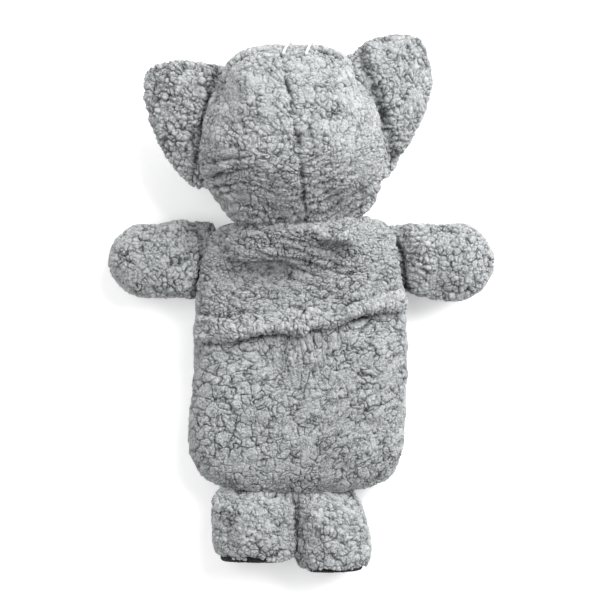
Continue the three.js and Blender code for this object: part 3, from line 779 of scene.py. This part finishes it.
def torso_folds(p, out):
    """Stretch folds that run up to the side, and combed streaks under the middle of the hem, both
    with painted shading: lighter on their ridges and darker in their valleys.
    """
    x, y = p[:, 0], p[:, 1]
    up = ramp(0.1, 0.6, out[:, 2])
    bend = noise(p, 24, 301) * 5 + noise(p, 11, 302) * 2
    slant = (x * 0.62 - y * 0.78 + bend) / 9.5
    ridge = ridges(slant, 0.7)
    where = ramp(-40, 20, x) * ramp(-125, -95, y) * (1 - ramp(-38, -18, y))
    where = where * (0.4 + 0.9 * ramp(-0.3, 0.4, noise(p, 22, 309)))
    folds = where * 1.5 * (ridge - 0.7)
    comb = (x + noise(p, 9, 305) * 1.6 + 0.2 * y) / 5.2
    streak = ridges(comb)
    middle = mound(x - 4, 34) * ramp(-62, -32, y)
    folds += middle * 0.9 * (streak - 0.7)
    lump = noise(p, 21, 307) + noise(p, 38, 308) * 1.3
    # hollows under the hem, where it stands off the back, with painted shade in them
    below = edge_height(x - SHIFT[0]) - (y - SHIFT[1])
    open_at = mound(x + 24, 15) + mound(x - 43, 8)
    gap = mound(below - 1.0, 2.2) * (0.3 + 0.7 * open_at)
    shade = where * (ridge - 0.75) * 0.22 + middle * (streak - 0.75) * 0.25 - 0.5 * gap
    return (folds + lump * 0.8 - 2.2 * gap) * up + torso_lumps(p, out)[0], shade * up


def make_front():
    rho = torso_rho
    lower = lambda x, y: torso_front(x, y, rho(x, y))

    def upper(x, y):
        """The panel's inside, which rises at its rim to the seam, or under the flap up to it."""
        r = rho(x, y)
        thin = lower(x, y) + 2.6 + 1.9 * swell(r, 4)
        seam = torso_mid(x, y) + SEAM_LAP
        seam = seam + (torso_back(x, y, r) - seam) * ramp(4, 12, y)
        return thin + np.maximum(seam - thin, 0) * ramp(*RIM, r)

    inside = lambda x, y: 0.992 - rho(x, y)
    obj = panel("belly", inside, upper, lower, 1.6, ((-78, 75), (-130, 61)))
    remeshed(obj, SIZE * 1.25)
    smoothed(obj, 3)
    furred(obj, torso_lumps, seed=11, depth=1.5)
    dressed(obj, PILE)
    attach(obj, "torso")
    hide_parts("belly_panel")


def make_pocket():
    rho = torso_rho
    upper = lambda x, y: torso_back(x, y, rho(x, y))

    def lower(x, y):
        thin = upper(x, y) - 2.4 - 2.1 * swell(rho(x, y), 4)
        seam = torso_mid(x, y) - SEAM_LAP
        return thin + np.minimum(seam - thin, 0) * ramp(*RIM, rho(x, y))

    inside = lambda x, y: np.minimum(0.996 - rho(x, y), (POCKET_TOP - y) / 40)
    obj = panel("lower_back", inside, upper, lower, 1.2, ((-78, 75), (-130, 14)))
    remeshed(obj, SIZE * 1.1)
    smoothed(obj, 4)
    refined(obj)
    furred(obj, torso_folds, seed=21, depth=1.6, clump=8.5, comb=torso_comb, matted=0.65)
    dressed(obj, PILE)
    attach(obj, "torso")
    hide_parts("pocket_back_panel")


def flap_comb(p):
    """Pile whose curls lie across the back, flatter above the hem than on it."""
    out = p.copy()
    above = p[:, 1] - SHIFT[1] - edge_height(p[:, 0] - SHIFT[0])
    out[:, 1] += 0.5 * np.maximum(above - 12, 0)
    return out


def neck_fold(x):
    return np.interp(x, *zip(*NECK_FOLD))


def flap_folds(p, out):
    x, y = p[:, 0] - SHIFT[0], p[:, 1] - SHIFT[1]
    up = ramp(-0.2, 0.5, out[:, 2])
    above = y - edge_height(x)
    hem = hem_width(x)
    stitch = above - hem + 1.6 * noise(p, 9, 401) + 0.8 * noise(p, 4, 404)
    broken = 0.45 + 0.55 * ramp(-0.3, 0.3, noise(p, 11, 407))
    groove = mound(stitch, 1.3) * broken
    roll = ramp(0, 4, above) * (1 - ramp(hem - 4, hem, above))
    lump = noise(p, 12, 402) * 1.3 + noise(p, 26, 403) * 1.5
    hem_lump = roll * (noise(p, 7.5, 408) * 1.5 + noise(p, 13, 409) * 0.8)
    pucker = ridges((x + 2.5 * noise(p, 8, 405)) / 8.0) - 0.7
    near_stitch = mound(stitch, 6)
    # a hollow to the left, with painted shade in it, and creases around it with painted shading
    sunk = mound(x + 24, 22) * mound(y - 23.5 - 0.10 * x, 7.5)
    around = mound(x + 10, 44) * mound(y - 26, 16)
    crease = ridges((y + 0.28 * x + 3.5 * noise(p, 15, 406)) / 7.0) - 0.7
    # the fold along the neck, which ends to the right above a hollow with painted shade in it
    crest = y - neck_fold(x) + 1.5 * noise(p, 10, 410)
    size = (1.0 + 2.4 * ramp(-5, 20, x)) * ramp(-46, -30, x) * (1 - ramp(32, 38, x))
    size = size * (0.75 + 0.45 * noise(p, 13, 411))
    neck = mound(crest, 3.2) * size
    spread = 1 + 0.35 * noise(p, 6, 412)
    behind = mound(x - 24, 11) * mound(crest + 8.0, 4.6) * spread
    beside = mound(x + 31, 8) * mound(y - 51, 3.2) * spread
    fold = -1.8 * groove + 0.8 * roll + 0.9 * lump + hem_lump + 0.7 * near_stitch * pucker
    fold += -6.0 * sunk + 3.0 * around * crease + neck - 2.9 * behind - 1.8 * beside
    # painted shade in the stitching groove and the hollows, painted light on the hem's roll, and
    # painted shading on the puckers and creases
    shade = -0.5 * groove + 0.18 * near_stitch * pucker - 0.56 * sunk
    shade += 0.46 * around * (crease - 0.05) + 0.17 * roll - 0.46 * behind - 0.42 * beside
    return fold * up, shade * up


def make_flap():
    rho = torso_rho
    above = lambda x, y: y - edge_height(x)

    def under(x, y):
        return torso_back(x, y, rho(x, y)) + 0.4

    def over(x, y):
        hem = hem_width(x)
        band = 1 - ramp(hem - 3, hem + 1, above(x, y))
        rounded = ramp(-0.5, 3.5, above(x, y)) * 0.6 + 0.4
        neck = 1.6 * mound(y - neck_fold(x), 5) * (1 - ramp(30, 50, np.abs(x)))
        return under(x, y) + (FABRIC + 2.6 * band) * rounded + neck

    inside = lambda x, y: np.minimum(0.985 - rho(x, y), above(x, y) / 60)
    obj = panel("back_flap", inside, over, under, 1.0, ((-76, 74), (-30, 58)))
    remeshed(obj, SIZE)
    smoothed(obj, 4)
    refined(obj)
    furred(
        obj, flap_folds, seed=31, depth=1.9, nub=3.5, clump=8.5, comb=flap_comb, beneath=0.3,
        matted=0.2,
    )
    dressed(obj, PILE)
    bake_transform(obj)
    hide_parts("flap_panel", "flap_hem")


make_front()
make_pocket()
make_flap()


# ---------------------------------------------------------------- head

HEAD_CENTRE = (0.0, 52.0)
HEAD_OUTLINE = [
    (0, 118), (24, 115.7), (40, 107.5), (50, 89), (58, 68), (61.5, 48), (60, 30), (55.5, 18),
    (51.5, 10), (45, 2), (24, -2.5), (0, -2), (-24, -2), (-40, 1), (-46.5, 8), (-51, 16),
    (-55.5, 23), (-60, 32), (-61.5, 48), (-58, 68), (-50, 89), (-40, 108), (-24, 117),
]
head_rho = star(HEAD_OUTLINE, HEAD_CENTRE)
BACK_SEAM = [(-0.6, 110), (-1.5, 96), (1, 80), (2.5, 62), (4.6, 46), (5.6, 32), (6.5, 17), (7, 3)]


def to_head(p):
    """The inverse of in_head."""
    x, y, z = (p - HEAD_PIVOT - SHIFT).T
    c, s = math.cos(TILT), math.sin(TILT)
    return np.stack([c * x + s * y, -s * x + c * y, z - HEAD_LEVEL], 1)


def seam_place(y):
    """How far to the side the seam down the back of the head is at y."""
    x_at, y_at = zip(*BACK_SEAM[::-1])
    return np.interp(y, y_at, x_at)


def head_comb(p):
    """Pile pressed together towards the neck, where its curls lie in arcs."""
    q = to_head(p)
    way = np.stack([q[:, 0] + 2, q[:, 1] - 82], 1)
    radius = np.hypot(way[:, 0], way[:, 1]) + 1e-6
    low = ramp(60, 20, q[:, 1])
    push = np.maximum(radius - 38, 0) * 0.85 * low * ramp(-20, 5, q[:, 2])
    out = p.copy()
    out[:, :2] += way / radius[:, None] * push[:, None]
    return out


def head_folds(p, out):
    q = to_head(p)
    x, y, z = q[:, 0], q[:, 1], q[:, 2]
    back = ramp(-4, 6, z)
    wander = 1.2 * noise(p, 9, 501)
    across = x - seam_place(y) + wander
    seam = mound(across, 1.5) * back
    pits = sum(mound(y - at, width) for at, width in ((88, 6), (52, 6), (30, 5), (14, 6)))
    near = mound(across, 7) * back
    pucker = ridges((y + 0.45 * np.abs(across) + 2 * noise(p, 7, 503)) / 7.0) - 0.7
    fold = -(1.3 + 2.2 * pits) * seam + 1.1 * near * pucker - 1.3 * pits * near
    # painted shade along the seam down the back of the head and its pits, painted shading on its
    # puckers
    shade = -(0.14 + 0.45 * pits) * seam + 0.14 * near * pucker
    # the seam around the head's side, which rises towards the crown, with painted shade in it
    level = 15 * ramp(78, 102, y) * (0.55 + 0.45 * ramp(5, -20, x))
    side = mound(z - level + 1.2 * noise(p, 12, 506), 1.5)
    fold += -0.9 * side
    shade += -0.16 * side
    crown = ramp(66, 88, y) * (0.35 + 0.65 * ramp(10, 18, np.abs(x - 4)))
    crown = crown * (1 - ramp(34, 42, x)) * back
    crown = crown * (0.6 + 0.5 * ramp(-0.3, 0.3, noise(p, 8, 512)))
    rim = (head_rho(x, y) - 0.93) * 66 + 0.8 * noise(p, 8, 510)
    sewn = mound(rim, 0.9) * crown
    proud = mound(rim - 2.6, 1.6) * crown
    # painted shade in the seam along the crown, painted light on the pile beside it
    fold += -2.3 * sewn + 1.0 * proud
    shade += -0.50 * sewn + 0.10 * proud
    # folds where the head is pressed against the shoulders, with painted shading on them
    radius = np.hypot(x + 2, y - 82) + 3.0 * noise(p, 15, 504) + 1.2 * noise(p, 6, 505)
    ring = ridges(radius / 4.6)
    low = (1 - ramp(16, 46, y)) * ramp(30, 55, radius) * (0.55 + 0.45 * ramp(-10, 30, x))
    fold += low * 2.4 * (ring - 0.7) * ramp(-30, 0, z)
    shade += low * 0.42 * (ring - 0.75)
    # folds at the cheek, with painted shading on them
    cheek = mound(x + 42, 14) * mound(y - 34, 13) * back
    cheek = cheek * (0.6 + 0.7 * ramp(-0.3, 0.4, noise(p, 9, 511)))
    wave = ridges((y + 3.6 * noise(p, 12, 507) - 0.12 * x) / 7.8)
    fold += cheek * 6.6 * (wave - 0.7)
    shade += cheek * 0.85 * (wave - 0.76)
    lump = noise(p, 26, 508) * 1.5 + noise(p, 13, 509) * 0.9
    # painted light: the upper side of the head is made lighter towards the crown
    return fold + lump, shade + 0.07 * back * ramp(20, 60, y)


def back_seam(p):
    """The points beside the seam down the back of the head."""
    q = to_head(p)
    return (np.abs(q[:, 0] - seam_place(q[:, 1])) < 2.4) & (q[:, 2] > 0)


def make_head():
    upper, lower = side_height(41.5, 2.3), side_height(-41.5, 2.3)
    obj = quilt("head", HEAD_OUTLINE, HEAD_CENTRE, upper, lower, in_head)
    plumped(obj, PAD_SIZE, 4.0, more_pins=back_seam)
    furred(obj, head_folds, seed=41, depth=1.8, nub=3.9, comb=head_comb, matted=0.25)
    dressed(obj, PILE)
    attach(obj, "head")
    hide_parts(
        "head_back_left", "head_back_right", "face_left", "face_right", "head_stuffing",
    )


make_head()


# ---------------------------------------------------------------- ears

EARS = {
    "right": dict(
        centre=(72.0, 80.0), hinge=((64.5, 40), (48, 100)), droop=14,
        outline=[
            (28, 100), (38, 82), (47, 54), (49, 28), (63, 26), (76, 43), (86, 58), (94, 75),
            (98, 90), (95.5, 106), (91, 119), (78, 122.6), (57, 119), (44, 111),
        ],
    ),
    "left": dict(
        centre=(-72.0, 74.0), hinge=((-64.5, 40), (-48, 100)), droop=16,
        outline=[
            (-34, 100), (-40, 82), (-47, 54), (-48, 30), (-65, 26), (-81, 43), (-90, 58),
            (-95, 77), (-98.5, 96), (-92, 108.5), (-70, 110.5), (-50, 108),
        ],
    ),
}
# How far the crease where an ear leaves the head reaches, how deep it is, and how dark its painted
# shade is.
EAR_CREASE = {"right": (4.0, 4.0, 4.2, 0.48), "left": (1.5, 2.4, 2.8, 0.42)}
EAR_PILE = {
    "right": dict(seed=51, depth=1.7, nub=3.5),
    "left": dict(seed=57, depth=2.7, nub=4.3, clump=8.0),
}


def ear_folds(side):
    (lx, ly), (hx, hy) = EARS[side]["hinge"]
    way = np.array([hy - ly, lx - hx]) / math.hypot(hx - lx, hy - ly)
    way *= 1 if side == "right" else -1
    place, width, deep, dark = EAR_CREASE[side]

    def folds(p, out):
        q = to_head(p)
        off = (q[:, 0] - lx) * way[0] + (q[:, 1] - ly) * way[1]
        up = ramp(0.0, 0.4, out[:, 2])
        crease = mound(off - place, width) * up
        along = q[:, 1] + 1.6 * noise(p, 9, 521)
        wrinkle = (ridges(along / 4.4) - 0.7) * mound(off - 9, 8) * up
        wrinkle = wrinkle * (1 - ramp(70, 96, q[:, 1]))
        lump = noise(p, 12, 522) * 0.9 + noise(p, 24, 523) * 1.3
        # painted shade in the crease, and painted shading on the wrinkles
        return lump + 1.4 * wrinkle - deep * crease, 0.20 * wrinkle - dark * crease

    return folds


def make_ear(side):
    ear = EARS[side]
    (lx, ly), (hx, hy) = ear["hinge"]
    sign = -1 if side == "right" else 1
    axis = np.array([hx - lx, hy - ly, 0.0]) * sign
    axis /= np.linalg.norm(axis)
    angle = -math.radians(ear["droop"])

    def place(p):
        q = p - (lx, ly, 0)
        c, s = math.cos(angle), math.sin(angle)
        turned = q * c + np.cross(axis, q) * s + np.outer(q @ axis, axis) * (1 - c)
        return in_head(turned + (lx, ly, 0))

    upper, lower = side_height(6.6, 3), side_height(-6.6, 3)
    obj = quilt(f"ear_{side}", ear["outline"], ear["centre"], upper, lower, place, 120, 18)
    plumped(obj, EAR_SIZE, 1.6, smooth=3, levels=1, grow=0.05)
    furred(obj, ear_folds(side), **EAR_PILE[side])
    dressed(obj, PILE)
    outward = np.cross(axis, (0, 0, 1))
    outward *= np.sign(outward[0] * lx)
    seam = np.array([(lx + hx) / 2, (ly + hy) / 2, 0])
    start, end = in_head([seam - outward * 5, seam + outward * 9])
    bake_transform(obj)
    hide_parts(*(f"ear_{kind}_{side}" for kind in ("back", "front", "wadding")))


make_ear("left")
make_ear("right")


# ---------------------------------------------------------------- limbs

def arm_round(s):
    return math.sqrt(max(0.012, 1 - max(0.0, (s - 0.52) / 0.48) ** 2.6))


def leg_width(s):
    return 26.2 - 1.5 * (1 - float(ramp(0, 0.4, s))) - float(ramp(0.7, 1, s))


def leg_depth(s):
    return 5 + 16.7 * float(ramp(0, 0.35, s)) - 1.2 * float(ramp(0.75, 1, s))


# Where each limb's joint is, the way it points in degrees, its length, and for an arm how far it
# reaches inside the body and its width at the root, and for a leg its width.
ARMS = {"left": ((-65, 29.5, 19), 180, 63.5, 9, 1.03), "right": ((64.5, 29, 19), -1, 65, 12, 0.87)}
LEGS = {
    "left": ((-31, -125, 22.1), -91, 47, 1.07),
    "right": ((22.2, -126, 22.1), -88.5, 52.5, 0.94),
}
LEG_INSIDE = 17


def limb_line(at, turn, start, end):
    angle = math.radians(turn)
    way = np.array([math.cos(angle), math.sin(angle), 0])
    side = np.array([-math.sin(angle), math.cos(angle), 0])
    path = [np.array(at) + SHIFT + way * v for v in np.linspace(start, end, 5)]
    return path, side, way


ARM_CREASE = {
    "left": [(7, -70.5), (28, -67), (42, -65.5), (53, -73), (60, -75)],
    "right": [(0, 73.5), (9, 72), (36, 67.5), (49, 59.5), (56, 53)],
}


def arm_folds(side):
    """A crease where the arm leaves the body, with painted shade in it, and wrinkles that fan out
    from it, with painted shading on them.
    """
    at_x, at_y, _ = ARMS[side][0]
    strong = 1.0 if side == "right" else 0.6

    def folds(p, out):
        x, y = p[:, 0] - SHIFT[0], p[:, 1] - SHIFT[1]
        up = ramp(0.0, 0.6, out[:, 2])
        away = (x - np.interp(y, *zip(*ARM_CREASE[side]))) * math.copysign(1, at_x)
        crease = mound(away - 0.6 + 0.8 * noise(p, 7, 544), 2.0) * strong
        shown = up if side == "right" else 0.4 + 0.6 * up
        turn = np.arctan2(y - at_y - 12, np.abs(x) - abs(at_x) + 22)
        fan = ridges((turn + 0.05 * noise(p, 10, 541)) * 9) - 0.7
        fan = fan * mound(np.abs(x) - 76, 13) * up * strong
        lump = noise(p, 14, 542) * 1.3 + noise(p, 28, 543) * 1.3
        return lump + 1.6 * fan - 3.2 * crease * shown, 0.24 * fan - 0.42 * crease * up

    return folds


def make_arm(side):
    at, turn, reach, begin, root = ARMS[side]
    path, across, way = limb_line(at, turn, -begin, reach)
    if side == "right":
        for point, lift in zip(path, (4, 2.5, 0.5)):
            point[1] += lift
    from_joint = lambda s: s * (reach + begin) - begin
    along = lambda s: max(0.0, from_joint(s) / reach)
    # the end inside the body is tucked in
    tuck = lambda s: 0.7 + 0.3 * float(ramp(-begin, 4 - begin, from_joint(s)))
    size = lambda s: tuck(s) * arm_round(along(s))
    width = lambda s: size(s) * 24.9 * (root + (1 - root) * float(ramp(0, 0.5, along(s))))
    depth = lambda s: size(s) * (7 + 10 * float(ramp(-0.05, 0.3, along(s))))
    obj = loft(f"arm_{side}", path, across, width, depth)
    plumped(obj, LIMB_SIZE, 2.5)
    furred(obj, arm_folds(side), seed=61 if side == "left" else 67, depth=1.7, nub=3.7)
    dressed(obj, PILE)
    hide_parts(f"arm_skin_{side}", f"arm_stuffing_{side}")
    joined(obj, at, way)


def leg_folds(p, out):
    foot = ramp(0.6, 0.9, -out[:, 1])
    lump = noise(p, 13, 551) * 1.1 + noise(p, 27, 552) * 1.2
    fold = ridges((p[:, 1] + 0.25 * p[:, 0] + 3.5 * noise(p, 12, 553)) / 7.5, 0.7) - 0.7
    where = mound(p[:, 1] + 150, 16) * ramp(0, 0.5, out[:, 2])
    # painted shade where the two legs meet, and painted shading on the folds
    between = mound(p[:, 0] + 1.8, 1.7)
    fold = lump + fold * where - 0.8 * between
    # the sole stands out of the foot's end, so the pile around it is set back
    return fold * (1 - foot) - 3.4 * foot, 0.12 * fold * where - 0.5 * between


def make_leg(side):
    at, turn, length, wide = LEGS[side]
    path, across, way = limb_line(at, turn, -LEG_INSIDE, length + 1.8)
    whole = LEG_INSIDE + length + 1.8
    along = lambda s: max(0.0, (s * whole - LEG_INSIDE) / length)
    foot = lambda s: math.sqrt(max(0.02, 1 - max(0.0, (s - 0.86) / 0.14) ** 2 * 0.30))
    hip = 1.0 if side == "left" else 0.88
    narrow = lambda s: hip + (1 - hip) * float(ramp(0.05, 0.6, along(s)))
    width = lambda s: (wide * leg_width(along(s)) + 1.2) * foot(s) * narrow(s)
    inward = 1 if side == "left" else -1
    for point, near_hip, near_foot in zip(path, (1, 1, 0.6, 0.2, 0), (0, 0, 0.2, 0.6, 1)):
        point[0] -= 3.4 * near_hip * (side == "right")
        point[0] += (0.8 + near_foot) * inward
    depth = lambda s: (leg_depth(along(s)) - 0.6) * foot(s)
    obj = loft(f"leg_{side}", path, across, width, depth)
    plumped(obj, LIMB_SIZE, 2.5)
    furred(obj, leg_folds, seed=71 if side == "left" else 77, depth=1.8, nub=3.9, matted=0.3)
    dressed(obj, PILE)
    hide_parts(f"leg_skin_{side}", f"leg_stuffing_{side}")
    joined(obj, at, way)

    sole_path, _, _ = limb_line(at, turn, length - 1.5, length + 2.0)
    rim = lambda s: math.sqrt(max(0.03, 1 - max(0.0, (s - 0.4) / 0.6) ** 2 * 0.12))
    sole = loft(
        f"foot_sole_{side}", sole_path, across,
        lambda s: (wide * leg_width(1) - 5.0) * rim(s), lambda s: (leg_depth(1) - 4.0) * rim(s), 12,
    )
    remeshed(sole, SOLE_SIZE)
    smoothed(sole, 2)
    furred(sole, seed=81, depth=0.5, nub=1.8, clump=6, sink=0.5)
    dressed(sole, SOLE)
    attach(sole, f"leg_{side}")
    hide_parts(f"sole_{side}")


for side in ("left", "right"):
    make_arm(side)
    make_leg(side)


# ---------------------------------------------------------------- trunk

def make_trunk():
    path = in_head(
        [(0, 44, -27.5), (-1, 34, -29.5), (-4, 18, -31), (-7, 4, -31.5), (-8, -7.5, -31.5)]
    )
    tip = lambda s: math.sqrt(max(0.02, 1 - max(0.0, (s - 0.72) / 0.28) ** 2.4))
    radius = lambda s: (14.5 - 4.0 * s) * tip(s)
    across = np.array([math.cos(TILT), math.sin(TILT), 0])
    path[:, 2] = np.maximum(path[:, 2], 13.5)
    obj = loft("trunk", path, across, radius, lambda s: 0.9 * radius(s))
    plumped(obj, TRUNK_SIZE, 1.5, levels=1, fine=False)
    furred(obj, seed=91, depth=1.2)
    dressed(obj, PILE)
    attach(obj, "trunk")
    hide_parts("trunk_skin", "trunk_stuffing")


make_trunk()


# ---------------------------------------------------------------- eyes and cushion

def colour_eyes():
    for side in ("left", "right"):
        for kind, material in (("eye", EYE), ("eye_washer", WASHER)):
            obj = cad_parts[f"{kind}_{side}"]
            obj.data.materials.clear()
            obj.data.materials.append(material)


colour_eyes()


def make_cushion():
    """The cotton cushion, inside the pocket."""
    low, high = (np.array(v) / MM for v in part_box("cushion_cover_front"))
    top = np.array(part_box("cushion_cover_back")[1]) / MM
    cx, cy = (low[:2] + high[:2]) / 2
    w, l = (high[:2] - low[:2]) / 2 - (3, 1)
    half = [(0.70, 1), (0.93, 0.74), (0.98, 0), (1, -0.86), (0.86, -1)]
    shares = [(0, 0.98), *half, (0, -0.97), *((-u, v) for u, v in half[::-1])]
    outline = [(cx + w * u, cy + l * v) for u, v in shares]
    mid = (low[2] + top[2]) / 2
    rise = (top[2] - low[2]) / 2 - 2.4
    upper, lower = side_height(rise, 3, mid), side_height(-rise, 3, mid)
    obj = quilt("heat_cushion", outline, (cx, cy), upper, lower, None, 120, 16)
    plumped(obj, PAD_SIZE, 2.0, smooth=0, fine=False)
    dressed(obj, COTTON)
    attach(obj, "cushion")
    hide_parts("cushion_cover_back", "cushion_cover_front", "cushion_filling")


make_cushion()


# ---------------------------------------------------------------- floor and light

FLOOR_REACH = 3000.0


def make_stage():
    material, tree, shader = new_material("floor")
    spots = node(tree, "TexNoise", {"Scale": 3.0, "Detail": 2.0})
    colour = colour_ramp(tree, spots.outputs["Fac"], [(0.3, (0.93,) * 3), (0.7, (0.95,) * 3)])
    plug(tree, shader, {
        "Base Color": colour, "Roughness": 0.9, "Emission Color": (1, 1, 1, 1),
        "Emission Strength": 0.28,
    })
    corners = [(-1, -1, 0), (1, -1, 0), (1, 1, 0), (-1, 1, 0)]
    floor = mesh_object("floor", np.array(corners) * FLOOR_REACH, [(0, 1, 2, 3)])
    floor.location.z = -0.0005
    floor.data.materials.append(material)

    world = bpy.data.worlds.new("studio")
    scene.world = world
    world.use_nodes = True
    sky = world.node_tree
    back = sky.nodes["Background"]
    way = node(sky, "TexCoord").outputs["Generated"]
    height = node(sky, "SeparateXYZ", {0: way}).outputs["Z"]
    colour = colour_ramp(sky, height, [(0.12, (0.82,) * 3), (0.5, (0.36,) * 3)])
    sky.links.new(colour, back.inputs["Color"])

    def lamp(name, place, size, energy):
        data = bpy.data.lights.new(name, "AREA")
        data.energy, data.size = energy, size
        obj = bpy.data.objects.new(name, data)
        obj.location = place
        aim = Vector((0, 0, 0.03)) - Vector(place)
        obj.rotation_euler = aim.to_track_quat("-Z", "Y").to_euler()
        scene.collection.objects.link(obj)

    lamp("key", (1.28, 1.22, 1.45), 1.9, 100)
    lamp("fill", (-1.2, 0.2, 2.0), 1.8, 24)
    scene.view_settings.view_transform = "Standard"


make_stage()
